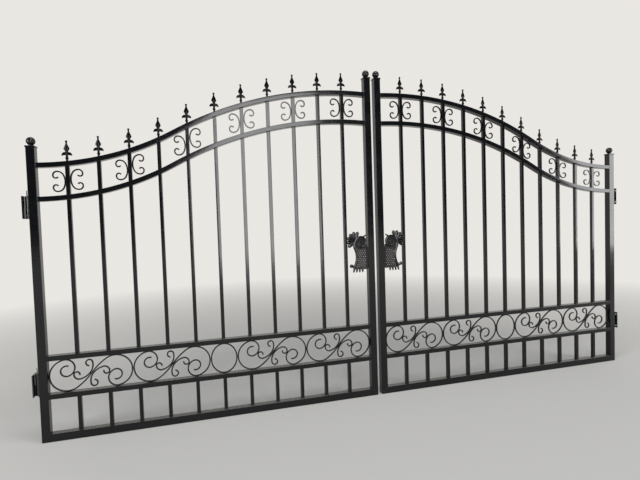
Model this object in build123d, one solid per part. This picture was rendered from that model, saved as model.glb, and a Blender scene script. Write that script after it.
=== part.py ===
from build123d import *
from math import acos, atan2, ceil, copysign, cos, degrees, floor, hypot, radians, sin, sqrt
import os

# Pair of ornamental steel driveway gate leaves with ball caps, spear finials and scroll work.
#
# Frame: X runs along the closed gate, from the left post face to the right one. Y runs to the back,
# the side that the leaves open to. Z is up. The origin is the middle of the left lower hinge plate,
# on the face that lies against the post.
#
# A leaf is drawn in its own coordinates: x from the outer face of its hinge stile, y from its front,
# z from its foot. The right leaf is the mirror image of the left one, but its scroll band, which
# runs in the same direction in both.

# Tubes of the frame, in millimetres
stile_size = 40.0
stile_wall = 2.0
rail_depth = 40.0
rail_height = 25.0
rail_wall = 1.5
picket_size = 19.0
picket_wall = 1.2

# Layout of one leaf
picket_count = 11
picket_gap = 127.0
meeting_gap = 25.0
hinge_stile_rise = 75.0
meeting_stile_rise = 81.0
band_bottom = 216.0
band_clear = 168.6

# Arched rails: a hollow by the hinges runs over into a crown by the meeting stile
arch_apex_height = 1824.0
arch_apex_inset = 115.0
arch_crown_radius = 2000.0
arch_hollow_radius = 1357.0
arch_turn = 29.2
arch_drop = 167.0

# Ball caps on the stiles
cap_overhang = 2.5
cap_thickness = 8.0
cap_edge_radius = 2.5
cap_neck_diameter = 20.0
cap_neck_height = 9.0
cap_ball_diameter = 42.0

# Spear finials: heights above the rail, with widths in front view
spear_height = 105.0
spear_foot_width = 10.0
spear_bead_height = 15.0
spear_bead_width = 16.0
spear_stem_height = 25.0
spear_stem_width = 11.0
spear_barb_tip_height = 28.0
spear_barb_height = 46.0
spear_barb_width = 48.0
spear_barb_thickness = 7.0
spear_blade_height = 63.0
spear_blade_width = 25.0
spear_blade_thickness = 10.0
spear_neck_height = 86.0
spear_neck_width = 6.5
spear_knob_height = 10.0
spear_knob_width = 10.0

# Scroll work, bent from square bar. Radii are parts of the loop or the back; turns are in degrees.
scroll_bar = 6.0
scroll_clearance = 0.3
ring_width = 146.0
wide_bend_facet = 15.0
tight_bend_facet = 30.0
tight_bend_radius = 30.0
band_scroll_middle_radius = 300.0
band_scroll_loop_end = 8.0
band_scroll_curl = ((0.494, 30), (0.543, 142), (0.333, 218))
band_c_lower = ((0.99, 42), (0.31, 98), (0.173, 200))
band_c_upper = ((0.80, 49), (0.197, 256))
picket_scroll_back_radius = 76.0
picket_scroll_half = ((1.0, 25), (0.41, 65), (0.25, 110), (0.155, 130))

# Cast pull plates beside the meeting stiles: places count from the stile and from the plate's foot
pull_height = 755.0
pull_thickness = 6.0
pull_mesh_foot = 16.0
pull_mesh_top = 156.0
pull_mesh_width = 95.0
pull_mesh_bar = 5.5
pull_mesh_cell_width = 12.5
pull_mesh_cell_height = 22.5
pull_border = 9.0
pull_rib_width = 17.0
pull_rib_tip_width = 9.0
pull_rib_thickness = 10.0
pull_rib_heading = 127.0
pull_rib_bends = ((115, -61), (49, 76), (36, 57), (29, 155), (20, 86), (13, 120))
pull_volute_x = 42.0
pull_volute_height = 177.0
pull_volute_radius = 30.0
pull_crest_x = 76.0
pull_crest_height = 185.0
pull_crest_reach = 59.0
pull_crest_fingers = 6
pull_crest_first = 106.0
pull_crest_step = -27.5
pull_finger_width = 17.0
pull_claw_count = 4
pull_claw_width = 20.0
pull_leaf_height = 219.0
pull_knob_width = 16.0
pull_knob_height = 45.0

# Lift-off hinges: a bolted plate with a fixed pin on the post, a barrel on the gate
hinge_gap = 30.0
hinge_height = 112.0
hinge_plate_width = 60.0
hinge_plate_thickness = 5.0
hinge_gate_plate_width = 34.0
hinge_gate_plate_thickness = 4.0
hinge_barrel_diameter = 18.0
hinge_barrel_clearance = 1.0
hinge_barrel_gap = 0.5
hinge_pin_diameter = 10.0
hinge_pin_clearance = 0.08
hinge_pin_stand = 4.0
hinge_stem_diameter = 5.0
hinge_stem_height = 24.0
hinge_web_thickness = 8.0
hinge_bolt_diameter = 9.0
hinge_bolt_across = 40.0
hinge_bolt_along = 80.0
hinge_pin_setback = 34.0
lower_hinge_height = 290.0
upper_hinge_drop = 293.5

# Sizes that follow
picket_pitch = picket_gap + picket_size
inner_width = (picket_count + 1) * picket_gap + picket_count * picket_size
leaf_width = inner_width + 2 * stile_size
inner_left = stile_size
inner_right = leaf_width - stile_size
opening_width = 2 * (hinge_gap + leaf_width) + meeting_gap
middle_depth = stile_size / 2
rail_front = middle_depth - rail_depth / 2
picket_front = middle_depth - picket_size / 2
band_floor = band_bottom + rail_height
band_ceiling = band_floor + band_clear
band_middle = band_floor + band_clear / 2
arch_crown_x = inner_right - arch_apex_inset
hinge_pin_x = hinge_gap - hinge_gate_plate_thickness - hinge_barrel_clearance - hinge_barrel_diameter / 2


def upright(sketch, front, depth):
    """A solid from a drawing of the front view, from the depth named front towards the back."""
    plane = Plane(origin=(0, front + depth, 0), x_dir=(1, 0, 0), z_dir=(0, -1, 0))
    return extrude(plane * sketch, depth)


def outline(*points):
    """A filled shape with straight sides."""
    return make_face(Polyline(*points, close=True))


def rectangle(left, right, bottom, top):
    return Pos((left + right) / 2, (bottom + top) / 2) * Rectangle(right - left, top - bottom)


def block(x_range, y_range, z_range):
    """A block between two values on each axis."""
    middle = [sum(pair) / 2 for pair in (x_range, y_range, z_range)]
    size = [pair[1] - pair[0] for pair in (x_range, y_range, z_range)]
    return Pos(*middle) * Box(*size)


def separate(*shapes):
    """Solids that share a node and don't touch."""
    return Compound(children=[solid for shape in shapes for solid in shape.solids()])


def picket_x(number):
    """Middle of a picket, counted from the hinge stile."""
    return stile_size + number * picket_pitch - picket_size / 2


# Stiles and bottom rail, mitred together


def stile(outer_x, inner_x, height):
    """A stile whose foot is cut at 45 degrees, rising towards its inner side."""
    wall = copysign(stile_wall, inner_x - outer_x)
    tube = outline((outer_x, 0), (inner_x, stile_size), (inner_x, height), (outer_x, height))
    hollow = outline(
        (outer_x + wall, stile_wall),
        (inner_x - wall, stile_size - stile_wall),
        (inner_x - wall, height),
        (outer_x + wall, height),
    )
    return upright(tube, 0, stile_size) - upright(hollow, stile_wall, stile_size - 2 * stile_wall)


def bottom_rail():
    wall = stile_wall
    tube = outline((0, 0), (leaf_width, 0), (inner_right, stile_size), (inner_left, stile_size))
    hollow = outline(
        (wall, wall),
        (leaf_width - wall, wall),
        (inner_right + wall, stile_size - wall),
        (inner_left - wall, stile_size - wall),
    )
    return upright(tube, 0, stile_size) - upright(hollow, wall, stile_size - 2 * wall)


# Rails, flush with the stiles in front and behind


def rail(tube, hollow):
    """A rectangular tube from the front views of its outside and of its inside."""
    return upright(tube, rail_front, rail_depth) - upright(
        hollow, rail_front + rail_wall, rail_depth - 2 * rail_wall
    )


def straight_rail(bottom):
    top = bottom + rail_height
    return rail(
        rectangle(inner_left, inner_right, bottom, top),
        rectangle(inner_left, inner_right, bottom + rail_wall, top - rail_wall),
    )


def arch_centres(drop):
    """Height of the crown's centre, and the place of the hollow's centre."""
    turn = radians(arch_turn)
    between = arch_crown_radius + arch_hollow_radius
    crown_z = arch_apex_height - drop - arch_crown_radius
    return crown_z, arch_crown_x - between * sin(turn), crown_z + between * cos(turn)


def under_arch(drop, offset):
    """Front view of all that lies between the stiles, below a curve square to the arch's top."""
    crown_z, hollow_x, hollow_z = arch_centres(drop)
    crown_radius = arch_crown_radius + offset
    hollow_radius = arch_hollow_radius - offset
    crown_end = degrees(acos((inner_right - arch_crown_x) / crown_radius))
    hollow_end = -degrees(acos((inner_left - hollow_x) / hollow_radius))
    crown = CenterArc((arch_crown_x, crown_z), crown_radius, crown_end, 90 + arch_turn - crown_end)
    hollow = CenterArc((hollow_x, hollow_z), hollow_radius, hollow_end, arch_turn - 90 - hollow_end)
    sides = Polyline(crown @ 0, (inner_right, 0), (inner_left, 0), hollow @ 0)
    return make_face([crown, hollow, *sides.edges()])


def arch_height(x, drop=0.0):
    """Height of an arched rail's top at x."""
    crown_z, hollow_x, hollow_z = arch_centres(drop)
    if x > arch_crown_x - arch_crown_radius * sin(radians(arch_turn)):
        return crown_z + sqrt(arch_crown_radius**2 - (x - arch_crown_x) ** 2)
    return hollow_z - sqrt(arch_hollow_radius**2 - (x - hollow_x) ** 2)


def arch_rail(drop):
    return rail(
        under_arch(drop, 0) - under_arch(drop, -rail_height),
        under_arch(drop, -rail_wall) - under_arch(drop, rail_wall - rail_height),
    )


# Pickets


def pickets(region):
    """Square tubes that fill a region of the front view from end to end."""
    wall = picket_wall
    tubes = []
    for number in range(1, picket_count + 1):
        x = picket_x(number)
        half = picket_size / 2
        tube = region & rectangle(x - half, x + half, 0, arch_apex_height)
        hollow = region & rectangle(x - half + wall, x + half - wall, 0, arch_apex_height)
        tubes.append(
            upright(tube, picket_front, picket_size)
            - upright(hollow, picket_front + wall, picket_size - 2 * wall)
        )
    return separate(*tubes)


def foot_pickets():
    return pickets(rectangle(inner_left, inner_right, stile_size, band_bottom))


def long_pickets():
    foot = rectangle(inner_left, inner_right, 0, band_ceiling + rail_height)
    return pickets(under_arch(arch_drop, -rail_height) - foot)


def head_pickets():
    return pickets(under_arch(0, -rail_height) - under_arch(arch_drop, 0))


# Ball caps


def ball_cap(x, height):
    """A cap plate with a rounded edge, a neck and a ball, on the open end of a stile."""
    width = stile_size + 2 * cap_overhang
    plate = Pos(0, 0, cap_thickness / 2) * Box(width, width, cap_thickness)
    plate = fillet(plate.edges().group_by(Axis.Z)[-1], cap_edge_radius)
    neck_height = cap_thickness + cap_neck_height
    neck = Pos(0, 0, neck_height / 2) * Cylinder(cap_neck_diameter / 2, neck_height)
    ball_radius = cap_ball_diameter / 2
    neck_to_ball = sqrt(ball_radius**2 - (cap_neck_diameter / 2) ** 2)
    ball = Pos(0, 0, cap_thickness + cap_neck_height / 2 + neck_to_ball) * Sphere(ball_radius)
    return Pos(x, middle_depth, height) * (plate + neck + ball)


# Bent bars, made of short straight facets in front view


def bends(parts, length, side=1):
    """Bends of real size from radii that are parts of a length; side -1 turns them the other way."""
    return [(part * length, side * turn) for part, turn in parts]


def facet_headings(heading, turn, radius):
    """Headings of a bend's facets, at round angles, so that the outermost ones are level or upright."""
    step = tight_bend_facet if radius < tight_bend_radius else wide_bend_facet
    first, last = heading / step, (heading + turn) / step
    if turn > 0:
        return [count * step for count in range(floor(first) + 1, floor(last) + 1)]
    return [count * step for count in range(ceil(first) - 1, ceil(last) - 1, -1)]


def bar_facets(start, heading, path):
    """Places and headings along a path of tangent bends: each is a radius and a turn, left positive."""
    x, z = start
    facets = [(x, z, heading)]
    for radius, turn in path:
        if turn * (heading - facets[-1][2]) < 0:
            facets.append((x, z, heading))
        reach = copysign(radius, turn)
        centre_x = x - reach * sin(radians(heading))
        centre_z = z + reach * cos(radians(heading))
        for angle in facet_headings(heading, turn, radius):
            across, up = sin(radians(angle)), -cos(radians(angle))
            facets.append((centre_x + reach * across, centre_z + reach * up, angle))
        heading += turn
        x = centre_x + reach * sin(radians(heading))
        z = centre_z - reach * cos(radians(heading))
    if facets[-1][2] != heading:
        facets.append((x, z, heading))
    return facets


def bar_side(facets, offset, end_offset=None):
    """Corners of a line beside the facets, to their left if the offset is positive; it may taper."""
    end_offset = offset if end_offset is None else end_offset
    lines = []
    for count, (x, z, heading) in enumerate(facets):
        angle = radians(heading)
        away = offset + (end_offset - offset) * count / (len(facets) - 1)
        lines.append((x - away * sin(angle), z + away * cos(angle), angle))
    corners = [lines[0][:2]]
    for (x, z, angle), (next_x, next_z, next_angle) in zip(lines, lines[1:]):
        along = (next_x - x) * sin(next_angle) - (next_z - z) * cos(next_angle)
        along /= sin(next_angle - angle)
        corners.append((x + along * cos(angle), z + along * sin(angle)))
    return corners + [lines[-1][:2]]


def bent_bar(start, heading, ahead, behind):
    """A square bar that bends both ways from a point, in the middle of the leaf's depth."""
    corners = []
    for direction, path in ((heading, ahead), (heading + 180, behind)):
        facets = bar_facets(start, direction, path)
        corners += bar_side(facets, scroll_bar / 2)
        corners += bar_side(facets, -scroll_bar / 2)[:0:-1]
    return upright(outline(*corners), middle_depth - scroll_bar / 2, scroll_bar)


# Scroll band


def band_cell_width():
    """Room for one S scroll: two on each side of the ring."""
    return (inner_width - ring_width) / 4


def band_scroll_centres():
    cell = band_cell_width()
    left = [inner_left + cell / 2, inner_left + 3 * cell / 2]
    right = [inner_right - 3 * cell / 2, inner_right - cell / 2]
    return left + right


def band_scroll_shape():
    """Loop radius of an S scroll, the heading of the bar at its middle, and its turn to the loop."""
    loop = (band_clear - scroll_bar) / 2 - scroll_clearance
    loop_x = band_cell_width() / 2 - scroll_clearance - scroll_bar / 2 - loop
    middle = band_scroll_middle_radius
    rise = (loop_x**2 - loop**2 + 2 * middle * loop) / (2 * loop_x * middle)
    heading = 90 - degrees(acos(rise))
    turn = heading - 90 + degrees(acos((middle * rise - loop_x) / (middle - loop)))
    return loop, heading, turn


def band_s_scrolls():
    loop, heading, turn = band_scroll_shape()
    loop_turn = 180 + heading - turn - band_scroll_loop_end
    middle = [(band_scroll_middle_radius, -turn), (loop, -loop_turn)]
    half = middle + bends(band_scroll_curl, loop, -1)
    shape = bent_bar((0, 0), heading, half, half)
    return separate(*[Pos(x, 0, band_middle) * shape for x in band_scroll_centres()])


def band_c_scrolls():
    """Two small C scrolls lie back to back along the middle of each S scroll."""
    loop, heading, turn = band_scroll_shape()
    step = scroll_bar + scroll_clearance
    start = (-step * sin(radians(heading)), step * cos(radians(heading)))
    upper_left = bent_bar(start, heading, bends(band_c_upper, loop), bends(band_c_lower, loop, -1))
    shapes = [upper_left, Rot(0, 180, 0) * upper_left]
    placed = [Pos(x, 0, band_middle) * shape for x in band_scroll_centres() for shape in shapes]
    return separate(*placed)


def band_ring():
    """An upright oval ring between the rails."""
    half_height = band_clear / 2 - scroll_clearance
    half_width = ring_width / 2 - scroll_clearance
    ring = Ellipse(half_width, half_height) - Ellipse(half_width - scroll_bar, half_height - scroll_bar)
    centre = Pos(leaf_width / 2, band_middle)
    return upright(centre * ring, middle_depth - scroll_bar / 2, scroll_bar)


# Scrolls on the head pickets


def picket_scroll():
    """A C scroll whose back is upright at x = 0 and whose curls reach towards +x."""
    upper = bends(picket_scroll_half, picket_scroll_back_radius, -1)
    lower = bends(picket_scroll_half, picket_scroll_back_radius)
    return bent_bar((0, 0), 90, upper, lower)


def picket_c_scrolls():
    """A C scroll on each side of every other picket, midway between the arches."""
    right = picket_scroll()
    left = mirror(right, Plane.YZ)
    offset = picket_size / 2 + scroll_bar / 2
    reach = right.bounding_box().max.X / 2
    placed = []
    for number in range(1, picket_count + 1, 2):
        x = picket_x(number)
        for side, shape in ((-1, left), (1, right)):
            middle = x + side * (offset + reach)
            room_top = arch_height(middle) - rail_height
            room_bottom = arch_height(middle, arch_drop)
            placed.append(Pos(x + side * offset, 0, (room_top + room_bottom) / 2) * shape)
    return separate(*placed)


# Spear finials


def tower(section, *stations):
    """A solid through level sections: each station is a height and the section's sizes."""
    return loft([Pos(0, 0, height) * section(*sizes) for height, *sizes in stations], ruled=True)


def square(width):
    return Rectangle(width, width)


def rhombus(width, thickness):
    return outline((width / 2, 0), (0, thickness / 2), (-width / 2, 0), (0, -thickness / 2))


def hexagon(width):
    return RegularPolygon(width / 2, 6)


def spear():
    """A spear finial standing on z = 0: stem with a bead, diamond blade and knob, and two barbs."""
    bead_half = 0.4 * spear_bead_width
    waist = spear_barb_height + 4
    shoulder = spear_blade_height + 0.7 * (spear_neck_height - spear_blade_height)
    knob_bottom = spear_height - spear_knob_height
    stem = tower(
        square,
        (0, spear_foot_width),
        (spear_bead_height - bead_half, spear_foot_width),
        (spear_bead_height, spear_bead_width),
        (spear_bead_height + bead_half, spear_stem_width),
        (spear_barb_height, spear_stem_width),
    )
    blade = tower(
        rhombus,
        (spear_stem_height, spear_stem_width, spear_blade_thickness),
        (waist, 1.15 * spear_stem_width, spear_blade_thickness),
        (spear_blade_height, spear_blade_width, spear_blade_thickness),
        (shoulder, 0.62 * spear_blade_width, 0.8 * spear_blade_thickness),
        (spear_neck_height, spear_neck_width, spear_neck_width),
        (knob_bottom + 1, spear_neck_width, spear_neck_width),
    )
    knob = tower(
        hexagon,
        (knob_bottom, 0.5 * spear_knob_width),
        (knob_bottom + 0.3 * spear_knob_height, spear_knob_width),
        (knob_bottom + 0.7 * spear_knob_height, spear_knob_width),
        (spear_height, 0.4 * spear_knob_width),
    )
    return stem + spear_barbs() + blade + knob


def spear_barbs():
    """A thick leaf on each side that points out and down."""
    half = spear_barb_width / 2
    top, tip = spear_barb_height, spear_barb_tip_height
    right = [(0.7 * half, top - 2), (0.93 * half, (top + tip) / 2), (half, tip), (0.6 * half, tip + 3)]
    right += [(0.25 * half, tip)]
    left = [(-x, z) for x, z in reversed(right)]
    leaves = outline((0, top + 1), *right, *left)
    return upright(leaves, -spear_barb_thickness / 2, spear_barb_thickness)


def spear_finials():
    """One spear over each picket, its foot cut to the slope of the top rail."""
    whole = spear()
    half = spear_foot_width / 2
    spears = []
    for number in range(1, picket_count + 1):
        x = picket_x(number)
        top = arch_height(x)
        drop = abs(arch_height(x + half) - arch_height(x - half)) / 2
        foot = block(
            (x - half, x + half), (middle_depth - half, middle_depth + half), (top - drop - 1, top + 1)
        )
        placed = Pos(x, middle_depth, top) * whole + foot
        spears.append(placed - upright(under_arch(0, 0), 0, stile_size))
    return separate(*spears)


# Pull plates


def slot(start, end, width):
    """A shape with round ends, from the middle of one end to the middle of the other."""
    across, up = end[0] - start[0], end[1] - start[1]
    middle = Pos((start[0] + end[0]) / 2, (start[1] + end[1]) / 2)
    return middle * Rot(0, 0, degrees(atan2(up, across))) * SlotCenterToCenter(hypot(across, up), width)


def pull_rib_facets():
    start = (pull_mesh_width, pull_mesh_foot + pull_border)
    return bar_facets(start, pull_rib_heading, pull_rib_bends)


def pull_panel(border):
    """The field between the stile, the plate's foot and the rib, less a border all round."""
    foot, top = pull_mesh_foot + border, pull_mesh_top - border
    beside_rib = [(x, max(foot, z)) for x, z in bar_side(pull_rib_facets(), border) if z < top]
    return outline((border, foot), *beside_rib, (border, top))


def pull_mesh():
    """Diamond openings between crossing bars."""
    half_width = (pull_mesh_cell_width - pull_mesh_bar) / 2
    half_height = half_width * pull_mesh_cell_height / pull_mesh_cell_width
    diamond = rhombus(2 * half_width, 2 * half_height)
    diamonds = Sketch()
    for column in range(ceil(2 * pull_mesh_width / pull_mesh_cell_width)):
        for row in range(ceil(2 * pull_mesh_top / pull_mesh_cell_height)):
            if (column + row) % 2:
                x = pull_border + column * pull_mesh_cell_width / 2
                z = pull_mesh_foot + pull_border + row * pull_mesh_cell_height / 2
                diamonds += Pos(x, z) * diamond
    return diamonds & pull_panel(pull_border)


def pull_crest():
    """Leaf fingers that radiate from the volute."""
    hub = (pull_crest_x, pull_crest_height)
    fingers = Sketch()
    for count in range(pull_crest_fingers):
        angle = radians(pull_crest_first + count * pull_crest_step)
        reach = pull_crest_reach - pull_finger_width / 2
        tip = (hub[0] + reach * cos(angle), hub[1] + reach * sin(angle))
        fingers += slot(hub, tip, pull_finger_width)
    return fingers


def pull_claws():
    """Pointed leaves below the panel's foot."""
    claws = Sketch()
    for count in range(pull_claw_count):
        middle = (count + 0.75) * pull_mesh_width / (pull_claw_count + 0.5)
        half = pull_claw_width / 2
        top = pull_mesh_foot + pull_border
        claws += outline(
            (middle - half, top),
            (middle - 0.7 * half, top / 2),
            (middle, 0),
            (middle + 0.7 * half, top / 2),
            (middle + half, top),
        )
    return claws


def pull_plate():
    """The left leaf's plate, drawn with x from its meeting stile towards the pickets."""
    volute = Pos(pull_volute_x, pull_volute_height) * Circle(pull_volute_radius)
    leaf = outline(
        (1, pull_leaf_height),
        (pull_volute_x, pull_volute_height + pull_volute_radius),
        (pull_volute_x - pull_volute_radius, pull_volute_height),
    )
    knob = slot(
        (pull_mesh_width, pull_mesh_foot + pull_mesh_cell_height),
        (picket_gap - pull_knob_width / 4, pull_knob_height),
        pull_knob_width,
    )
    flat = pull_panel(0) - pull_mesh() + volute + leaf + pull_crest() + pull_claws() + knob
    facets = pull_rib_facets()
    half, tip = pull_rib_width / 2, pull_rib_tip_width / 2
    rib = outline(*bar_side(facets, half, tip), *bar_side(facets, -half, -tip)[::-1])
    plate = upright(flat, picket_front - pull_thickness, pull_thickness)
    return plate + upright(rib, picket_front - pull_rib_thickness, pull_rib_thickness)


def placed_pull_plate():
    plate = mirror(pull_plate(), Plane.YZ)
    return Pos(inner_right, 0, pull_height) * plate


# Hinges, drawn with the origin in the middle of the post plate's face


def hinge_post_half():
    plate = block(
        (0, hinge_plate_thickness),
        (-hinge_plate_width / 2, hinge_plate_width / 2),
        (-hinge_height / 2, hinge_height / 2),
    )
    for y in (-hinge_bolt_across / 2, hinge_bolt_across / 2):
        for z in (-hinge_bolt_along / 2, hinge_bolt_along / 2):
            hole = Pos(hinge_plate_thickness / 2, y, z) * Rot(0, 90, 0)
            plate -= hole * Cylinder(hinge_bolt_diameter / 2, 2 * hinge_plate_thickness)
    bottom = -hinge_height / 2
    barrel_top = -hinge_barrel_gap / 2
    pin_top = hinge_height / 2 + hinge_pin_stand
    half_web = hinge_web_thickness / 2
    web = block((hinge_plate_thickness, hinge_pin_x), (-half_web, half_web), (bottom, barrel_top))
    barrel = upright_cylinder(hinge_barrel_diameter, bottom, barrel_top)
    pin = upright_cylinder(hinge_pin_diameter, bottom, pin_top)
    stem = upright_cylinder(hinge_stem_diameter, pin_top, pin_top + hinge_stem_height)
    return plate + web + barrel + pin + stem


def hinge_gate_half():
    back = stile_size - hinge_pin_setback
    middle = back - stile_size / 2
    half_plate = hinge_gate_plate_width / 2
    top, bottom = hinge_height / 2, hinge_barrel_gap / 2
    plate_face = hinge_gap - hinge_gate_plate_thickness
    plate = block((plate_face, hinge_gap), (middle - half_plate, middle + half_plate), (-top, top))
    half_web = hinge_web_thickness / 2
    web = block((hinge_pin_x, plate_face), (-half_web, half_web), (bottom, top))
    barrel = upright_cylinder(hinge_barrel_diameter, bottom, top)
    bore = upright_cylinder(hinge_pin_diameter + 2 * hinge_pin_clearance, bottom - 1, top + 1)
    return plate + (web + barrel - bore)


def upright_cylinder(diameter, bottom, top):
    """A cylinder on the hinge's axis."""
    return Pos(hinge_pin_x, 0, (bottom + top) / 2) * Cylinder(diameter / 2, top - bottom)


# All nodes


def hinge_stile_top():
    return arch_height(inner_left) + hinge_stile_rise


def meeting_stile_top():
    return arch_height(inner_right) + meeting_stile_rise


def leaf_nodes():
    """The pieces of the left leaf that the right leaf mirrors."""
    return {
        "hinge_stile": stile(0, stile_size, hinge_stile_top()),
        "meeting_stile": stile(leaf_width, inner_right, meeting_stile_top()),
        "hinge_stile_cap": ball_cap(stile_size / 2, hinge_stile_top()),
        "meeting_stile_cap": ball_cap(leaf_width - stile_size / 2, meeting_stile_top()),
        "bottom_rail": bottom_rail(),
        "band_lower_rail": straight_rail(band_bottom),
        "band_upper_rail": straight_rail(band_ceiling),
        "inner_arch_rail": arch_rail(arch_drop),
        "top_arch_rail": arch_rail(0),
        "foot_pickets": foot_pickets(),
        "long_pickets": long_pickets(),
        "head_pickets": head_pickets(),
        "spear_finials": spear_finials(),
        "picket_c_scrolls": picket_c_scrolls(),
        "band_ring": band_ring(),
        "pull_plate": placed_pull_plate(),
    }


def band_nodes():
    """The scrolls of the band, which run the same way in both leaves."""
    return {"band_s_scrolls": band_s_scrolls(), "band_c_scrolls": band_c_scrolls()}


def main():
    os.makedirs("parts", exist_ok=True)
    middle = Plane(origin=(opening_width / 2, 0, 0), z_dir=(1, 0, 0))
    to_left = Pos(hinge_gap, -hinge_pin_setback, -lower_hinge_height)
    to_right = Pos(opening_width - hinge_gap - leaf_width, -hinge_pin_setback, -lower_hinge_height)
    nodes = {}
    for name, shape in leaf_nodes().items():
        nodes["left_" + name] = to_left * shape
        nodes["right_" + name] = mirror(to_left * shape, middle)
    for name, shape in band_nodes().items():
        nodes["left_" + name] = to_left * shape
        nodes["right_" + name] = to_right * shape
    heights = {"lower": 0, "upper": hinge_stile_top() - upper_hinge_drop - lower_hinge_height}
    for level, height in heights.items():
        for half, shape in (("post", hinge_post_half()), ("gate", hinge_gate_half())):
            placed = Pos(0, 0, height) * shape
            nodes[f"left_{level}_hinge_{half}_half"] = placed
            nodes[f"right_{level}_hinge_{half}_half"] = mirror(placed, middle)
    for name, shape in nodes.items():
        export_step(shape, f"parts/{name}.step")


main()
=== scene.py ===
from math import acos, atan2, ceil, copysign, cos, degrees, pi, radians, sin, sqrt

import bmesh
import bpy
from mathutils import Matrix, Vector


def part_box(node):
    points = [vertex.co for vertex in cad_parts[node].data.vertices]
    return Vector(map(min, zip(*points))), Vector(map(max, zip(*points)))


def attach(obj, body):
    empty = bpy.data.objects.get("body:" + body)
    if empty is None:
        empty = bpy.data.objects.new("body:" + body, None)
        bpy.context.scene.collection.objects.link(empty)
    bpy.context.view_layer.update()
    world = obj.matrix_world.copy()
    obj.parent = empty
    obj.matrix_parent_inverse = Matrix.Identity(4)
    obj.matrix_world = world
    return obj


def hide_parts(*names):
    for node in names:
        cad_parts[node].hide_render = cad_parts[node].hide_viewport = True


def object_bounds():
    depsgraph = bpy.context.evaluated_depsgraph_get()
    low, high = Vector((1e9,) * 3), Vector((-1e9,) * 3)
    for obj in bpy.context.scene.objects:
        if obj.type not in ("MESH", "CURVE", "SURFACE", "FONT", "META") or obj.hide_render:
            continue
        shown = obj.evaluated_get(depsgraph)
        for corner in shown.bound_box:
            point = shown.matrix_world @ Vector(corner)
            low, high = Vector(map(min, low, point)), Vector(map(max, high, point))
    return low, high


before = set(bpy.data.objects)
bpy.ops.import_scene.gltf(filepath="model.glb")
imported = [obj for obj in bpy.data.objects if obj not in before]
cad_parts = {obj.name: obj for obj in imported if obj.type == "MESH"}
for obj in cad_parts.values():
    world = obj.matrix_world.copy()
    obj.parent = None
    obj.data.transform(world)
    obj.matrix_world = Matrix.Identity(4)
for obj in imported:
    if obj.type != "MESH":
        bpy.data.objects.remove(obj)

cad_box = [list(corner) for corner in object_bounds()]

# Sizes of the gate in millimetres, in the coordinates of one leaf: x from the outer face of its hinge
# stile, y from its front, z from its foot. The pieces are made in these and turned into metres at the end.
stile_size = 40.0
rail_height = 25.0
picket_count = 11
picket_size = 19.0
picket_gap = 127.0
meeting_gap = 25.0
hinge_gap = 30.0
hinge_pin_setback = 34.0
lower_hinge_height = 290.0
band_bottom = 216.0
band_clear = 168.6

picket_pitch = picket_gap + picket_size
inner_width = (picket_count + 1) * picket_gap + picket_count * picket_size
leaf_width = inner_width + 2 * stile_size
inner_left = stile_size
inner_right = leaf_width - stile_size
opening_width = 2 * (hinge_gap + leaf_width) + meeting_gap
middle_depth = stile_size / 2
picket_front = middle_depth - picket_size / 2
band_ceiling = band_bottom + rail_height + band_clear
band_middle = band_ceiling - band_clear / 2

# Arched rails
arch_apex_height = 1824.0
arch_crown_x = inner_right - 115.0
arch_crown_radius = 2000.0
arch_hollow_radius = 1357.0
arch_turn = 29.2
arch_drop = 167.0
arch_overlap = 6.0
arch_setback = 0.05

# Scroll work: radii are parts of the loop or the back, turns are in degrees
scroll_bar = 7.0
scroll_clearance = 0.3
ring_width = 146.0
band_scroll_middle_radius = 300.0
band_scroll_loop_end = 8.0
band_scroll_curl = ((0.494, 30), (0.543, 142), (0.333, 218))
band_c_lower = ((0.99, 42), (0.31, 98), (0.173, 200))
band_c_upper = ((0.80, 49), (0.197, 256))
picket_scroll_back_radius = 76.0
picket_scroll_half = ((1.0, 25), (0.41, 65), (0.25, 110), (0.155, 130))

# Size of a leaf's tip, as a share of its width
leaf_tip = 0.08

# Spear finial: height above the rail, width, thickness, and how square the section is (2 is round)
spear_sections = (
    (-5, 11, 11, 5),
    (1, 11.5, 11.5, 4),
    (5, 9.6, 9.6, 3),
    (9, 10.2, 10.2, 2.4),
    (12, 14.4, 14.4, 2),
    (15, 16, 16, 2),
    (18, 14.4, 14.4, 2),
    (21.5, 11.2, 11.2, 2.2),
    (27, 11.2, 11, 2.4),
    (38, 11.6, 10.4, 2.2),
    (46, 13, 10.4, 2),
    (50, 14.6, 10.4, 1.8),
    (55, 19, 10.2, 1.6),
    (59, 25.4, 10, 1.55),
    (62, 27.6, 10, 1.55),
    (65, 26.8, 9.8, 1.55),
    (71, 22, 9.2, 1.55),
    (77, 16.8, 8.4, 1.55),
    (83, 11.8, 7.4, 1.7),
    (88, 8.4, 7.4, 2),
    (92.5, 7.6, 7.4, 2),
    (95, 8.8, 8.8, 2),
    (97.5, 11, 11, 2),
    (100, 11.6, 11.6, 2),
    (102.8, 9.4, 9.4, 2),
    (104.6, 4.4, 4.4, 2),
    (105, 0.6, 0.6, 2),
)
spear_barb_start = (2.0, 38.5)
spear_barb_heading = 12.0
spear_barb_bends = ((19.5, -78),)
spear_barb_width = 16.0
spear_barb_thickness = 8.5

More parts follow.
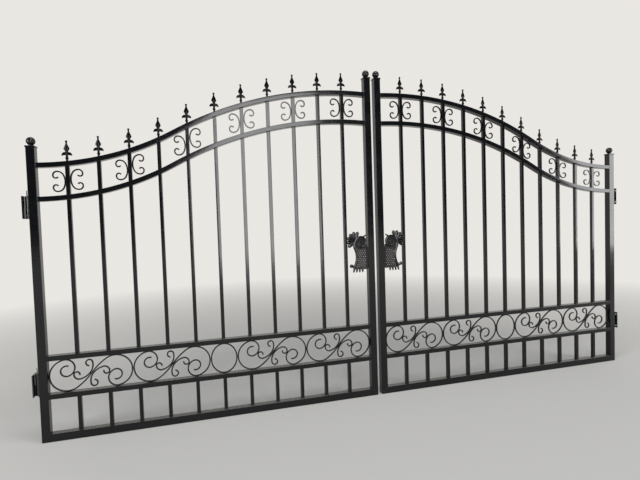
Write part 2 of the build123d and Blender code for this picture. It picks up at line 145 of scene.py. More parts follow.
# Pull plate: places count from the meeting stile and from the plate's foot. A leaf of the casting has a
# start, a heading and bends, and its section a width, an added thickness, the share of the width at its
# root, and the share of its length where it is widest.
pull_height = 755.0
pull_mesh_foot = 16.0
pull_mesh_top = 156.0
pull_mesh_bar = 6.8
pull_mesh_cell_width = 12.5
pull_mesh_cell_height = 22.5
pull_mesh_lines = 20
pull_border = 9.0
pull_head = 25.0
pull_head_overlap = 6.0
pull_mesh_overlap = 3.0
pull_panel_thickness = 4.5
pull_plate_thickness = 6.0
pull_rib_start = (95.0, 25.0)
pull_rib_heading = 127.0
pull_rib_bends = ((115, -61), (49, 76), (36, 57), (29, 155), (20, 86), (13, 120), (7.5, 110))
pull_rib_widths = ((0, 13), (0.1, 17), (0.24, 21), (0.36, 16), (0.5, 11), (0.66, 8.5), (1, 5))
pull_rib_thickness = 10.0
pull_volute = (42.0, 177.0)
pull_volute_radius = 29.0
pull_eye_start = (pull_volute[0] - 6, pull_volute[1] - 1)
pull_eye_radius = 3.3
pull_hub = (76.0, 185.0)
pull_hub_radius = 23.0
pull_web = (66.0, 163.0)
pull_web_radius = 12.0
pull_crest_reach = 60.0
pull_crest_start = 3.0
pull_crest_bend = 18.0
pull_crest_angles = (106.0, 78.5, 51.0, 23.5, -4.0, -31.5)
pull_finger_section = (23.0, 1.0, 0.45, 0.75)
pull_vein_width = 3.4
pull_claw_places = (40.0, 58.0, 76.0, 94.0)
pull_claw_heading = -108.0
pull_claw_bends = ((70, 24),)
pull_claw_section = (12.5, 2.0, 0.9, 0.4)
pull_side_leaf = ((pull_volute[0] + 6, 203.0), 165.0, ((100, -26),))
pull_side_leaf_section = (12.0, 0.0, 1.0, 0.2)
pull_knob = ((pull_rib_start[0] - 4, 32.0), 32.0, ((60, -16), (60, 12)))
pull_knob_section = (22.0, 3.0, 0.5, 0.66)

# Welds and rounded edges; an edge that turns by more than the sharp angle, in degrees, is rounded
picket_weld = 4.4
mitre_weld = 4.0
mitre_weld_inset = 1.5
rail_weld = 3.0
frame_weld_depth = 0.3
weld_margin = 1.0
merge_distance = 0.01
sharp_angle = 35.0
frame_edge = 2.2
picket_edge = 1.6
scroll_edge = 0.8
casting_edge = 0.6

# Hinge pins, drawn in metres in the shared frame; they stand a little proud of the CAD's pins
pin_offset = 0.016
pin_stand = 0.0038
pin_radius = 0.00505
pin_chamfer = 0.0006
pin_shoulder = 0.0008
pin_overlap = 0.001
pin_proud = 0.0001
stem_radius = 0.00255
stem_height = 0.024

# Camera, in metres and degrees, as the photograph was taken
camera_place = (0.8123, -2.5129, 0.7694)
camera_angles = (87.741, 1.834, -15.676)
camera_lens = 24.975
camera_sensor = 36.0

# Finish and studio
coat_dark = (0.0015, 0.0017, 0.0024)
coat_light = (0.003, 0.0033, 0.0045)
dust_colour = (0.2, 0.19, 0.17)
steel_colour = (0.46, 0.45, 0.43)
stain_colour = (0.2, 0.17, 0.14)
floor_colour = (0.64, 0.635, 0.62)
floor_size = 60.0
floor_middle = 1.86
floor_gap = 0.0005
floor_fade = (1.5, 6.0)
floor_glow_nearby = 0.15
background_colour = (0.82, 0.8, 0.765)
soft_light_colour = (0.9, 0.95, 1.0)
soft_light_strength = 0.1

# Lamps: name, place, what it points at, and width and height, in metres, and power in watts
lamps = (
    ("key", (-3.0, -2.4, 1.8), (1.3, 0, 0.7), (2.4, 2.4), 110),
    ("front", (2.55, -9.0, 2.06), (2.55, 0, 2.06), (2.8, 4.66), 330),
    ("side", (5.9, -2.0, 1.4), (2.4, 0, 0.7), (1.0, 2.2), 55),
    ("top", (1.6, -1.4, 3.8), (1.85, 0, 0.7), (2.2, 1.0), 60),
)


# Materials


class Tree:
    """Short ways to add and link the nodes of a material."""

    def __init__(self, name):
        self.material = bpy.data.materials.new(name)
        self.material.use_nodes = True
        self.nodes = self.material.node_tree.nodes
        self.links = self.material.node_tree.links
        self.shader = self.nodes["Principled BSDF"]

    def add(self, kind, **values):
        node = self.nodes.new("ShaderNode" + kind)
        for name, value in values.items():
            socket = name.replace("_", " ")
            if socket in node.inputs:
                self.put(node.inputs[socket], value)
            else:
                setattr(node, name, value)
        return node

    def put(self, socket, value):
        if isinstance(value, bpy.types.NodeSocket):
            self.links.new(value, socket)
        else:
            socket.default_value = value

    def noise(self, scale, detail=2.0, roughness=0.5):
        place = self.add("TexCoord").outputs["Object"]
        return self.add("TexNoise", Vector=place, Scale=scale, Detail=detail, Roughness=roughness)

    def ramp(self, value, low, high, to_low=0.0, to_high=1.0):
        limits = {"From_Min": low, "From_Max": high, "To_Min": to_low, "To_Max": to_high}
        return self.add("MapRange", Value=value, **limits).outputs["Result"]

    def times(self, first, second):
        node = self.add("Math", operation="MULTIPLY")
        self.put(node.inputs[0], first)
        self.put(node.inputs[1], second)
        return node.outputs[0]

    def mix(self, share, first, second):
        node = self.add("Mix", data_type="RGBA")
        self.put(node.inputs["Factor"], share)
        for socket, value in ((node.inputs[6], first), (node.inputs[7], second)):
            self.put(socket, value if isinstance(value, bpy.types.NodeSocket) else (*value, 1))
        return node.outputs[2]

    def bump(self, height, strength, distance, before=None):
        node = self.add("Bump", Height=height, Strength=strength, Distance=distance)
        if before:
            self.links.new(before, node.inputs["Normal"])
        return node.outputs["Normal"]

    def facing_up(self):
        """0 on upright faces, 1 on level ones."""
        normal = self.add("NewGeometry").outputs["Normal"]
        parts = self.add("SeparateXYZ", Vector=normal)
        return self.ramp(parts.outputs["Z"], 0.35, 0.95)


def coated(name, peel_scale, peel_depth, roughness, gleam):
    """Glossy black coating: orange peel, cloudy gloss, and dust that settles on what faces up."""
    tree = Tree(name)
    cloud = tree.noise(14, detail=5, roughness=0.6).outputs["Fac"]
    speck = tree.noise(160, detail=3).outputs["Fac"]
    colour = tree.mix(tree.ramp(cloud, 0.35, 0.7), coat_dark, coat_light)
    dust = tree.times(tree.facing_up(), tree.ramp(speck, 0.4, 0.75, 0.05, 0.45))
    tree.put(tree.shader.inputs["Base Color"], tree.mix(dust, colour, dust_colour))
    gloss = tree.ramp(cloud, 0.3, 0.7, roughness - 0.03, roughness + 0.05)
    rough = tree.add("Math", operation="ADD")
    tree.put(rough.inputs[0], gloss)
    tree.put(rough.inputs[1], tree.times(dust, 0.8))
    tree.put(tree.shader.inputs["Roughness"], rough.outputs[0])
    peel = tree.noise(peel_scale, detail=2).outputs["Fac"]
    waves = tree.bump(tree.noise(9, detail=0).outputs["Fac"], 0.2, 0.001)
    tree.put(tree.shader.inputs["Normal"], tree.bump(peel, 0.35, peel_depth, waves))
    tree.shader.inputs["Specular IOR Level"].default_value = gleam
    return tree.material


def bare_steel():
    """Turned steel of the hinge pins, a little stained."""
    tree = Tree("bare_steel")
    stain = tree.noise(220, detail=4).outputs["Fac"]
    lines = tree.add("TexWave", Scale=900.0, Distortion=1.5, bands_direction="Z", wave_type="BANDS")
    tree.put(lines.inputs["Vector"], tree.add("TexCoord").outputs["Object"])
    colour = tree.mix(tree.ramp(stain, 0.35, 0.7), steel_colour, stain_colour)
    tree.put(tree.shader.inputs["Base Color"], colour)
    tree.put(tree.shader.inputs["Roughness"], tree.ramp(stain, 0.3, 0.7, 0.28, 0.5))
    tree.put(tree.shader.inputs["Normal"], tree.bump(lines.outputs["Fac"], 0.2, 0.0002))
    tree.shader.inputs["Metallic"].default_value = 1.0
    return tree.material


def plain_floor():
    """Pale floor with the object's shadow, which fades into the pale background far away."""
    tree = Tree("pale_floor")
    tree.shader.inputs["Base Color"].default_value = (*floor_colour, 1)
    tree.shader.inputs["Roughness"].default_value = 0.85
    place = tree.add("TexCoord").outputs["Object"]
    distance = tree.add("VectorMath", operation="LENGTH", Vector=place).outputs["Value"]
    fade = tree.ramp(distance, *floor_fade, floor_glow_nearby, 1)
    share = tree.times(fade, seen_rays(tree.nodes, tree.links))
    glow = tree.add("Emission", Strength=1.0, Color=(*background_colour, 1))
    mix = tree.add("MixShader")
    for socket, value in zip(mix.inputs, (share, tree.shader.outputs[0], glow.outputs[0])):
        tree.put(socket, value)
    tree.put(tree.nodes["Material Output"].inputs["Surface"], mix.outputs[0])
    return tree.material


def seen_rays(nodes, links, names=("Is Camera Ray", "Is Glossy Ray", "Is Transmission Ray")):
    """1 for the rays that show the background, to the camera or in a reflection."""
    rays = nodes.new("ShaderNodeLightPath")
    either = rays.outputs[names[0]]
    for name in names[1:]:
        larger = nodes.new("ShaderNodeMath")
        larger.operation = "MAXIMUM"
        links.new(either, larger.inputs[0])
        links.new(rays.outputs[name], larger.inputs[1])
        either = larger.outputs[0]
    return either


# Shapes: each is a list of points (x, y, z) in millimetres and a list of faces


def joined(shapes):
    points, faces = [], []
    for shape_points, shape_faces in shapes:
        start = len(points)
        points += shape_points
        faces += [[start + corner for corner in face] for face in shape_faces]
    return points, faces


def moved(shape, x=0.0, y=0.0, z=0.0, flip=1):
    return [(x + flip * px, y + py, z + pz) for px, py, pz in shape[0]], shape[1]


def tube(rings, closed=False):
    """A skin over rings that have the same number of points, with flat ends unless it is closed."""
    count = len(rings[0])
    points = [point for ring in rings for point in ring]
    faces = []
    for ring in range(len(rings) if closed else len(rings) - 1):
        near, far = ring * count, (ring + 1) % len(rings) * count
        for corner in range(count):
            after = (corner + 1) % count
            faces.append([near + corner, near + after, far + after, far + corner])
    if not closed:
        last = (len(rings) - 1) * count
        faces.append(list(range(count))[::-1])
        faces.append([last + corner for corner in range(count)])
    return points, faces


def bends(parts, length, side=1):
    return [(part * length, side * turn) for part, turn in parts]


def course(start, heading, path, step=6.0):
    """Places and headings along tangent bends in front view: each is a radius and a turn."""
    x, z = start
    places = [(x, z, heading)]
    for radius, turn in path:
        reach = copysign(radius, turn)
        centre = (x - reach * sin(radians(heading)), z + reach * cos(radians(heading)))
        steps = max(1, ceil(abs(turn) / step))
        for count in range(1, steps + 1):
            angle = heading + turn * count / steps
            x = centre[0] + reach * sin(radians(angle))
            z = centre[1] - reach * cos(radians(angle))
            places.append((x, z, angle))
        heading += turn
    return places


def line(start, end, steps=1):
    across, up = end[0] - start[0], end[1] - start[1]
    heading = degrees(atan2(up, across))
    shares = [count / steps for count in range(steps + 1)]
    return [(start[0] + share * across, start[1] + share * up, heading) for share in shares]


def swept(places, section, depth, closed=False):
    """A bar along a course; section gives its (side, forward) corners at a share of the way."""
    rings = []
    for count, (x, z, heading) in enumerate(places):
        angle = radians(heading)
        corners = section(count / (len(places) - 1))
        rings.append([(x - side * sin(angle), depth - out, z + side * cos(angle)) for side, out in corners])
    return tube(rings, closed)


def rectangular(width, thickness):
    half, out = width / 2, thickness / 2
    return lambda share: [(-half, -out), (half, -out), (half, out), (-half, out)]


def rounded(width, thickness, power, corners=12):
    """Corners of a section that is round at power 2, a diamond at 1 and nearly square at 5."""
    points = []
    for count in range(corners):
        angle = 2 * pi * count / corners
        side = copysign(abs(cos(angle)) ** (2 / power), cos(angle))
        out = copysign(abs(sin(angle)) ** (2 / power), sin(angle))
        points.append((width / 2 * side, thickness / 2 * out))
    return points


def leaf_section(width, thickness, root=0.5, widest=0.6):
    """A leaf that swells from its root and closes in a round tip."""

    def section(share):
        swell = min(1, root + (1 - root) * share / widest)
        tip = sqrt(max(0.0, 1 - max(0.0, (share - widest) / (1 - widest)) ** 2))
        size = max(leaf_tip, swell * tip)
        return rounded(width * size, thickness * max(0.25, size), 1.7)

    return section


def between(pairs, share):
    """A value read off between the nearest of the (share, value) pairs."""
    for (low, first), (high, second) in zip(pairs, pairs[1:]):
        if share <= high:
            return first + (second - first) * (share - low) / (high - low)
    return pairs[-1][1]


def slab(corners, front, back):
    """A flat plate from its outline in front view."""
    return tube([[(x, front, z) for x, z in corners], [(x, back, z) for x, z in corners]])


def circle(centre, radius, corners=40):
    angles = [2 * pi * count / corners for count in range(corners)]
    return [(centre[0] + radius * cos(angle), centre[1] + radius * sin(angle)) for angle in angles]


def weld_bead(start, end, depth, size):
    """A rippled bead along a line in front view."""
    ripples = max(2, round(Vector((end[0] - start[0], end[1] - start[1])).length / (0.8 * size)))
    places = line(start, end, 2 * ripples)

    def section(share):
        swell = 0.85 + 0.15 * cos(2 * pi * ripples * share)
        end_taper = sqrt(max(0.15, 1 - (2 * share - 1) ** 6))
        return rounded(size * swell * end_taper, 0.6 * size * swell * end_taper, 2, 8)

    return swept(places, section, depth)


# Pieces


def to_frame(side, point, mirrored=True):
    """A point of a leaf, in metres in the shared frame."""
    x = hinge_gap + point[0]
    if side == "right":
        x = opening_width - x if mirrored else opening_width - 2 * hinge_gap - leaf_width + x
    return x / 1000, (point[1] - hinge_pin_setback) / 1000, (point[2] - lower_hinge_height) / 1000


def make_piece(name, side, shape, material, stands_for=(), mirrored=True, edge=0.0):
    """A piece of one leaf that swings with it; edge rounds its sharp edges, in millimetres."""
    mesh = bpy.data.meshes.new(name)
    points = [to_frame(side, point, mirrored) for point in shape[0]]
    mesh.from_pydata(points, [], shape[1])
    build = bmesh.new()
    build.from_mesh(mesh)
    bmesh.ops.recalc_face_normals(build, faces=build.faces)
    build.to_mesh(mesh)
    build.free()
    mesh.materials.append(material)
    piece = bpy.data.objects.new(name, mesh)
    bpy.context.scene.collection.objects.link(piece)
    round_edges(piece, edge)
    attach(piece, side + "_leaf")
    for node in stands_for:
        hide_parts(side + "_" + node)


def round_edges(piece, edge):
    """Smooth faces, and a bevel of that many millimetres on the edges that are sharp."""
    piece.data.polygons.foreach_set("use_smooth", [True] * len(piece.data.polygons))
    if edge:
        weld = piece.modifiers.new("weld", "WELD")
        weld.merge_threshold = merge_distance / 1000
        bevel = piece.modifiers.new("round_edges", "BEVEL")
        bevel.width = edge / 1000
        bevel.segments = 2
        bevel.limit_method = "ANGLE"
        bevel.angle_limit = radians(sharp_angle)
        flat = piece.modifiers.new("flat_faces", "WEIGHTED_NORMAL")
        flat.mode = "FACE_AREA"
        flat.weight = 100


def picket_x(number):
    return stile_size + number * picket_pitch - picket_size / 2


def arch_centres(drop):
    turn = radians(arch_turn)
    crown_z = arch_apex_height - drop - arch_crown_radius
    both = arch_crown_radius + arch_hollow_radius
    return crown_z, arch_crown_x - both * sin(turn), crown_z + both * cos(turn)


def arch_height(x, drop=0.0):
    """Height of an arched rail's top at x."""
    crown_z, hollow_x, hollow_z = arch_centres(drop)
    if x > arch_crown_x - arch_crown_radius * sin(radians(arch_turn)):
        return crown_z + sqrt(arch_crown_radius**2 - (x - arch_crown_x) ** 2)
    return hollow_z - sqrt(arch_hollow_radius**2 - (x - hollow_x) ** 2)


def arch_rail(drop):
    """A rail along the arch; its ends run on into the stiles."""
    hollow_x = arch_centres(drop)[1]
    start = inner_left - arch_overlap
    heading = 90 - degrees(acos((start - hollow_x) / arch_hollow_radius))
    end = inner_right + arch_overlap
    crown_turn = degrees(acos((end - arch_crown_x) / arch_crown_radius)) - (90 + arch_turn)
    hollow_turn = arch_turn - heading
    path = [(arch_hollow_radius, hollow_turn), (arch_crown_radius, crown_turn)]
    places = course((start, arch_height(start, drop)), heading, path, 1.2)
    half = stile_size / 2 - arch_setback
    corners = [(-rail_height, -half), (0, -half), (0, half), (-rail_height, half)]
    return swept(places, lambda share: corners, middle_depth)


# Scroll work


def bent_bar(start, heading, ahead, behind):
    """A square bar that bends both ways from a point of its length."""
    back = course(start, heading + 180, behind)[:0:-1]
    places = [(x, z, angle - 180) for x, z, angle in back] + course(start, heading, ahead)
    return swept(places, rectangular(scroll_bar, scroll_bar), middle_depth)


def band_cell_width():
    return (inner_width - ring_width) / 4


def band_centres():
    """Middles of the four cells, two on each side of the ring."""
    cell = band_cell_width()
    insets = (cell / 2, 3 * cell / 2)
    return [inner_left + inset for inset in insets] + [inner_right - inset for inset in insets[::-1]]


def band_scroll_shape():
    """Radius of the loop, heading of the middle, and turns of the middle and of the loop."""
    loop = (band_clear - scroll_bar) / 2 - scroll_clearance
    loop_x = band_cell_width() / 2 - scroll_clearance - scroll_bar / 2 - loop
    middle = band_scroll_middle_radius
    rise = (loop_x**2 - loop**2 + 2 * middle * loop) / (2 * loop_x * middle)
    heading = 90 - degrees(acos(rise))
    turn = heading - (90 - degrees(acos((middle * rise - loop_x) / (middle - loop))))
    return loop, heading, turn, 180 + heading - turn - band_scroll_loop_end


def band_s_scrolls():
    loop, heading, middle_turn, loop_turn = band_scroll_shape()
    half = [(band_scroll_middle_radius, -middle_turn), (loop, -loop_turn)]
    half += bends(band_scroll_curl, loop, -1)
    bar = bent_bar((0, 0), heading, half, half)
    return joined([moved(bar, x, 0, band_middle) for x in band_centres()])


def band_c_scrolls():
    loop, heading = band_scroll_shape()[:2]
    step = scroll_bar + scroll_clearance
    bars = []
    for side in (1, -1):
        start = (-side * step * sin(radians(heading)), side * step * cos(radians(heading)))
        ahead, behind = bends(band_c_upper, loop), bends(band_c_lower, loop, -1)
        bars.append(bent_bar(start, heading if side > 0 else heading + 180, ahead, behind))
    return joined([moved(bar, x, 0, band_middle) for x in band_centres() for bar in bars])


def band_ring():
    """An upright oval ring of square bar."""
    half_width = ring_width / 2 - scroll_clearance - scroll_bar / 2
    half_height = band_clear / 2 - scroll_clearance - scroll_bar / 2
    steps = 72
    places = []
    for count in range(steps):
        angle = 2 * pi * count / steps
        x, z = half_width * cos(angle), half_height * sin(angle)
        heading = degrees(atan2(half_height * cos(angle), -half_width * sin(angle)))
        places.append((leaf_width / 2 + x, band_middle + z, heading))
    return swept(places, rectangular(scroll_bar, scroll_bar), middle_depth, closed=True)


def picket_c_scrolls():
    """A C scroll on each side of every other head picket."""
    half = bends(picket_scroll_half, picket_scroll_back_radius)
    bar = bent_bar((0, 0), 90, bends(picket_scroll_half, picket_scroll_back_radius, -1), half)
    offset = (picket_size + scroll_bar) / 2
    reach = max(x for x, y, z in bar[0]) / 2
    bars = []
    for number in range(1, picket_count + 1, 2):
        for side in (-1, 1):
            x = picket_x(number) + side * offset
            middle = x + side * reach
            height = (arch_height(middle) - rail_height + arch_height(middle, arch_drop)) / 2
            bars.append(moved(bar, x, 0, height, side))
    return joined(bars)


# Spear finials


def spear():
    """One finial: a turned stem with a bead, a soft diamond blade, a knob and two thick barbs."""
    rings = []
    for height, width, thickness, power in spear_sections:
        rings.append([(side, -out, height) for side, out in rounded(width, thickness, power, 16)])
    places = course(spear_barb_start, spear_barb_heading, spear_barb_bends)

    def section(share):
        width = spear_barb_width * max(0.04, 1 - max(0, (share - 0.35) / 0.65) ** 1.8)
        return rounded(width, spear_barb_thickness * (1 - 0.5 * share), 1.8)

    barb = swept(places, section, 0)
    return joined([tube(rings), barb, moved(barb, flip=-1)])


def spear_finials():
    shape = spear()
    numbers = range(1, picket_count + 1)
    return joined([moved(shape, picket_x(n), middle_depth, arch_height(picket_x(n))) for n in numbers])


# Pull plates, drawn with x from the meeting stile towards the pickets


def pull_rib():
    return course(pull_rib_start, pull_rib_heading, pull_rib_bends, 5)


def pull_field(border):
    """Outline of the pierced field, between the stile, the plate's foot and the rib."""
    foot, top = pull_mesh_foot + border, pull_mesh_top - border
    beside = []
    for x, z, heading in course(pull_rib_start, pull_rib_heading, pull_rib_bends[:2], 5):
        corner = (x - border * sin(radians(heading)), z + border * cos(radians(heading)))
        if corner[1] < top:
            beside.append((corner[0], max(foot, corner[1])))
    return [(border, foot), *beside, (border, top)]


def spans(corners, start, way):
    """Stretches of a line that lie inside an outline, as pairs of distances along it."""
    cuts = []
    for (x, z), (next_x, next_z) in zip(corners, corners[1:] + corners[:1]):
        edge = (next_x - x, next_z - z)
        scale = way[0] * edge[1] - way[1] * edge[0]
        if abs(scale) < 1e-9:
            continue
        along = ((x - start[0]) * edge[1] - (z - start[1]) * edge[0]) / scale
        share = ((x - start[0]) * way[1] - (z - start[1]) * way[0]) / scale
        if 0 <= share < 1:
            cuts.append(along)
    cuts.sort()
    return list(zip(cuts[::2], cuts[1::2]))


def pull_mesh():
    """Crossing bars inside the field; one way is thinner, so that no two faces lie in one plane."""
    field = pull_field(pull_border - pull_mesh_overlap)
    half_cell = (pull_mesh_cell_width / 2, pull_mesh_cell_height / 2)
    centre_depth = picket_front - pull_panel_thickness / 2
    bars = []
    for lean, thickness in ((1, pull_panel_thickness), (-1, pull_panel_thickness - 0.4)):
        way = Vector((half_cell[0], lean * half_cell[1])).normalized()
        section = rectangular(pull_mesh_bar, thickness)
        for count in range(-pull_mesh_lines, pull_mesh_lines + 1):
            start = (pull_border + count * pull_mesh_cell_width, pull_mesh_foot + pull_border)
            for low, high in spans(field, start, way):
                ends = [(start[0] + way[0] * reach, start[1] + way[1] * reach) for reach in (low, high)]
                bars.append(swept(line(*ends), section, centre_depth))
    return bars


def pull_frame():
    """Flat rim round the field; its bars differ in thickness, so that no two faces lie in one plane."""
    outer = pull_field(0)
    half = pull_border / 2
    foot = pull_mesh_foot + half
    top = pull_mesh_top - pull_head / 2 + pull_head_overlap
    bars = (
        ((half, foot), (half, top), pull_border, 0.4),
        ((half, foot), (outer[1][0], foot + 2), pull_border, 0.2),
        ((half, top), (outer[-2][0], top), pull_head, -0.3),
    )
    middle = picket_front - pull_plate_thickness / 2
    shapes = []
    for start, end, width, added in bars:
        section = rectangular(width, pull_plate_thickness + added)
        shapes.append(swept(line(start, end), section, middle))
    return shapes


def pull_discs():
    """Flat ground behind the volute, the crest's root and the web between the volute and the rib."""
    front, back = picket_front - pull_plate_thickness, picket_front
    return [
        slab(circle(pull_volute, pull_volute_radius), front + 1, back - 0.6),
        slab(circle(pull_hub, pull_hub_radius), front + 1.5, back - 0.4),
        slab(circle(pull_web, pull_web_radius), front + 2, back - 0.9),
    ]


def pull_leaf(start, heading, path, leaf, depth, step=2):
    """A cast leaf along a course; leaf is its width, added thickness, root and widest place."""
    width, added, root, widest = leaf
    section = leaf_section(width, pull_plate_thickness + added, root, widest)
    return swept(course(start, heading, path, step), section, depth)


def pull_finger(angle):
    """A leaf of the crest with a raised midrib."""
    way = radians(angle)
    start = (pull_hub[0] + pull_crest_start * cos(way), pull_hub[1] + pull_crest_start * sin(way))
    radius = (pull_crest_reach - pull_crest_start) / radians(pull_crest_bend)
    heading, path = angle - pull_crest_bend / 2, [(radius, pull_crest_bend)]
    depth = picket_front - pull_plate_thickness / 2
    blade = pull_leaf(start, heading, path, pull_finger_section, depth)

    def section(share):
        return rounded(pull_vein_width - 2 * share, 3, 2, 8)

    vein = swept(course(start, heading, path, 2)[1:-1], section, depth - pull_plate_thickness / 2)
    return [blade, vein]


def pull_claw(middle):
    """A pointed leaf below the field."""
    lean = (middle - pull_claw_places[0]) / 3
    start = (middle - lean / 4, pull_mesh_foot + pull_border + 2)
    depth = picket_front - pull_plate_thickness / 2 - 0.5
    return pull_leaf(start, pull_claw_heading + lean, pull_claw_bends, pull_claw_section, depth)


def pull_scroll():
    """The raised rib that curls up in the volute, and its eye."""

    def section(share):
        return rounded(between(pull_rib_widths, share), pull_rib_thickness, 2.1, 16)

    depth = picket_front - pull_rib_thickness / 2
    eye = course(pull_eye_start, 0, [(pull_eye_radius, 350)], 20)
    return [swept(pull_rib(), section, depth), swept(eye, lambda share: rounded(6, 8, 2), depth + 1)]


def pull_plate():
    """The whole casting on the left leaf."""
    front = picket_front - pull_plate_thickness
    shapes = pull_mesh() + pull_frame() + pull_discs()
    for angle in pull_crest_angles:
        shapes += pull_finger(angle)
    for middle in pull_claw_places:
        shapes.append(pull_claw(middle))
    shapes.append(pull_leaf(*pull_side_leaf, pull_side_leaf_section, front + 3))
    shapes.append(pull_leaf(*pull_knob, pull_knob_section, front + 2, 3))
    shapes += pull_scroll()
    return moved(joined(shapes), inner_right, 0, pull_height, -1)


# Welds


def picket_welds():
    """A bead in front and behind where a picket meets a rail."""
    half = picket_size / 2 - weld_margin
    beads = []
    for number in range(1, picket_count + 1):
        x = picket_x(number)
        levels = [(stile_size, stile_size), (band_bottom, band_bottom)]
        levels.append((band_ceiling + rail_height,) * 2)
        for drop, below in ((arch_drop, rail_height), (arch_drop, 0), (0, rail_height)):
            levels.append((arch_height(x - half, drop) - below, arch_height(x + half, drop) - below))
        for left, right in levels:
            for depth in (picket_front, picket_front + picket_size):
                beads.append(weld_bead((x - half, left), (x + half, right), depth, picket_weld))
    return beads


def frame_welds():
    """Ground beads on the mitres and where the rails meet the stiles."""
    beads = []
    inset, margin = mitre_weld_inset, weld_margin
    mitres = ((inset, stile_size - margin), (leaf_width - inset, inner_right + margin))
    for depth in (frame_weld_depth, stile_size - frame_weld_depth):
        for outer, inner in mitres:
            beads.append(weld_bead((outer, inset), (inner, stile_size - margin), depth, mitre_weld))
        for x in (inner_left, inner_right):
            tops = [band_bottom + rail_height, band_ceiling + rail_height]
            tops += [arch_height(x), arch_height(x, arch_drop)]
            for top in tops:
                foot = (x, top - rail_height + margin)
                beads.append(weld_bead(foot, (x, top - margin), depth, rail_weld))
    return beads


# Hinge pins


def lathe(profile, corners=24):
    """A turned shape about the Z axis, from (radius, height) pairs."""
    rings = []
    for radius, height in profile:
        angles = [2 * pi * count / corners for count in range(corners)]
        rings.append([(radius * cos(angle), radius * sin(angle), height) for angle in angles])
    return tube(rings)


def hinge_pin(side, level, material):
    """The bare end of the fixed pin above its hinge."""
    node = f"{side}_{level}_hinge_post_half"
    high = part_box(node)[1][2]
    foot = high - stem_height - pin_stand
    x = pin_offset if side == "left" else opening_width / 1000 - pin_offset
    shoulder = foot + pin_stand
    profile = (
        (pin_radius, foot - pin_overlap),
        (pin_radius, shoulder - pin_chamfer),
        (pin_radius - pin_shoulder, shoulder + pin_proud),
        (stem_radius, shoulder + 2 * pin_proud),
        (stem_radius, high - pin_chamfer),
        (stem_radius / 2, high + pin_proud),
    )
    points, faces = lathe(profile)
    mesh = bpy.data.meshes.new(node + "_pin")
    mesh.from_pydata([(px + x, py, pz) for px, py, pz in points], [], faces)
    mesh.materials.append(material)
    pin = bpy.data.objects.new(node.replace("post_half", "pin"), mesh)
    bpy.context.scene.collection.objects.link(pin)
    round_edges(pin, 0)
    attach(pin, "posts_side")


# Studio


def make_floor():
    low = cad_box[0]
    bpy.ops.mesh.primitive_plane_add(size=floor_size, location=(floor_middle, 0, low[2] - floor_gap))
    floor = bpy.context.object
    floor.name = "floor"
    floor.data.materials.append(plain_floor())


def make_world():
    """Pale behind the object and in its reflections; from the viewer's side a softer, darker light."""
    world = bpy.data.worlds.new("studio")
    bpy.context.scene.world = world
    world.use_nodes = True
    nodes, links = world.node_tree.nodes, world.node_tree.links
    soft = nodes["Background"]
    soft.inputs["Color"].default_value = (*soft_light_colour, 1)
    soft.inputs["Strength"].default_value = soft_light_strength
    pale = nodes.new("ShaderNodeBackground")
    pale.inputs["Color"].default_value = (*background_colour, 1)
    pale.inputs["Strength"].default_value = 1.0
    direction = nodes.new("ShaderNodeSeparateXYZ")
    links.new(nodes.new("ShaderNodeTexCoord").outputs["Generated"], direction.inputs[0])
    behind = nodes.new("ShaderNodeMapRange")
    links.new(direction.outputs["Y"], behind.inputs["Value"])
    behind.inputs["From Min"].default_value = -0.25
    behind.inputs["From Max"].default_value = 0.25
    share = nodes.new("ShaderNodeMath")
    share.operation = "MULTIPLY"
    links.new(seen_rays(nodes, links), share.inputs[0])
    links.new(behind.outputs["Result"], share.inputs[1])
    shown = nodes.new("ShaderNodeMath")
    shown.operation = "MAXIMUM"
    links.new(share.outputs[0], shown.inputs[0])
    links.new(seen_rays(nodes, links, ("Is Camera Ray",)), shown.inputs[1])
    mix = nodes.new("ShaderNodeMixShader")
    for socket, value in zip(mix.inputs, (shown.outputs[0], soft.outputs[0], pale.outputs[0])):
        links.new(value, socket)
    links.new(mix.outputs[0], nodes["World Output"].inputs["Surface"])


def area_light(name, place, target, size, power):
    lamp = bpy.data.lights.new(name, "AREA")
    lamp.shape = "RECTANGLE"
    lamp.size, lamp.size_y = size
    lamp.energy = power
    lamp_object = bpy.data.objects.new(name, lamp)
    bpy.context.scene.collection.objects.link(lamp_object)
    lamp_object.location = place
    way = Vector(target) - Vector(place)
    lamp_object.rotation_euler = way.to_track_quat("-Z", "Y").to_euler()


def make_camera():
    camera = bpy.data.cameras.new("camera")
    camera.sensor_width = camera_sensor
    camera.lens = camera_lens
    camera_object = bpy.data.objects.new("camera", camera)
    bpy.context.scene.collection.objects.link(camera_object)
    camera_object.location = camera_place
    camera_object.rotation_euler = [radians(angle) for angle in camera_angles]
    bpy.context.scene.camera = camera_object


# The object

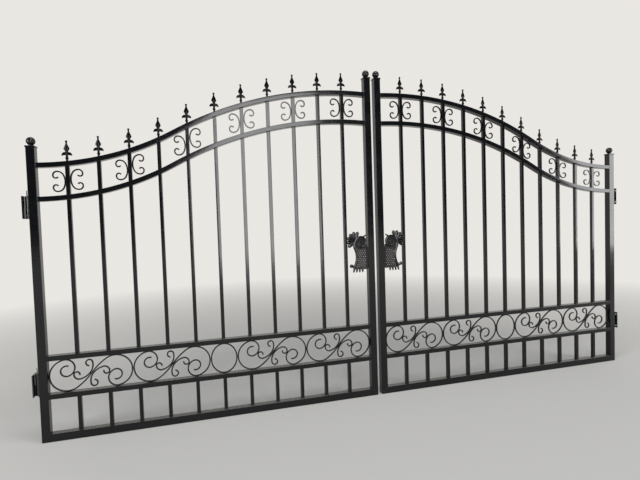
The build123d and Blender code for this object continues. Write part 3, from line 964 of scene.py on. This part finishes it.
coat = coated("black_powder_coat", peel_scale=480, peel_depth=0.00004, roughness=0.13, gleam=0.42)
cast_coat = coated("black_coated_casting", peel_scale=260, peel_depth=0.00006, roughness=0.11, gleam=0.5)
spear_coat = coated("black_coated_spear", peel_scale=260, peel_depth=0.00006, roughness=0.12, gleam=0.14)
hinge_coat = coated("black_coated_hinge", peel_scale=480, peel_depth=0.00004, roughness=0.13, gleam=1.0)
steel = bare_steel()

# Finish by a part of the node's name; all other nodes have the plain coat
coats = {
    "pull_plate": cast_coat,
    "spear_finials": spear_coat,
    "gate_half": hinge_coat,
    "post_half": hinge_coat,
}
for name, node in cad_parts.items():
    finish = next((coats[part] for part in coats if part in name), coat)
    for material_slot in node.material_slots:
        material_slot.material = finish
    round_edges(node, picket_edge if "picket" in name else frame_edge)

for side in ("left", "right"):
    make_piece(side + "_spears", side, spear_finials(), spear_coat, ["spear_finials"])
    pull = pull_plate()
    make_piece(side + "_pull_casting", side, pull, cast_coat, ["pull_plate"], edge=casting_edge)
    # Name, shape, the node it stands for, whether the right leaf mirrors it, and its rounded edges
    bars = (
        ("picket_scroll_bars", picket_c_scrolls(), "picket_c_scrolls", True, scroll_edge),
        ("ring_bar", band_ring(), "band_ring", True, scroll_edge),
        ("s_scroll_bars", band_s_scrolls(), "band_s_scrolls", False, scroll_edge),
        ("c_scroll_bars", band_c_scrolls(), "band_c_scrolls", False, scroll_edge),
        ("top_arch", arch_rail(0), "top_arch_rail", True, frame_edge),
        ("inner_arch", arch_rail(arch_drop), "inner_arch_rail", True, frame_edge),
    )
    for name, shape, node, mirrored, edge in bars:
        make_piece(f"{side}_{name}", side, shape, coat, [node], mirrored, edge)
    make_piece(side + "_picket_welds", side, joined(picket_welds()), coat)
    make_piece(side + "_frame_welds", side, joined(frame_welds()), coat)
    for level in ("lower", "upper"):
        hinge_pin(side, level, steel)

make_floor()
make_world()
for lamp in lamps:
    area_light(*lamp)
make_camera()
bpy.context.scene.view_settings.view_transform = "Standard"
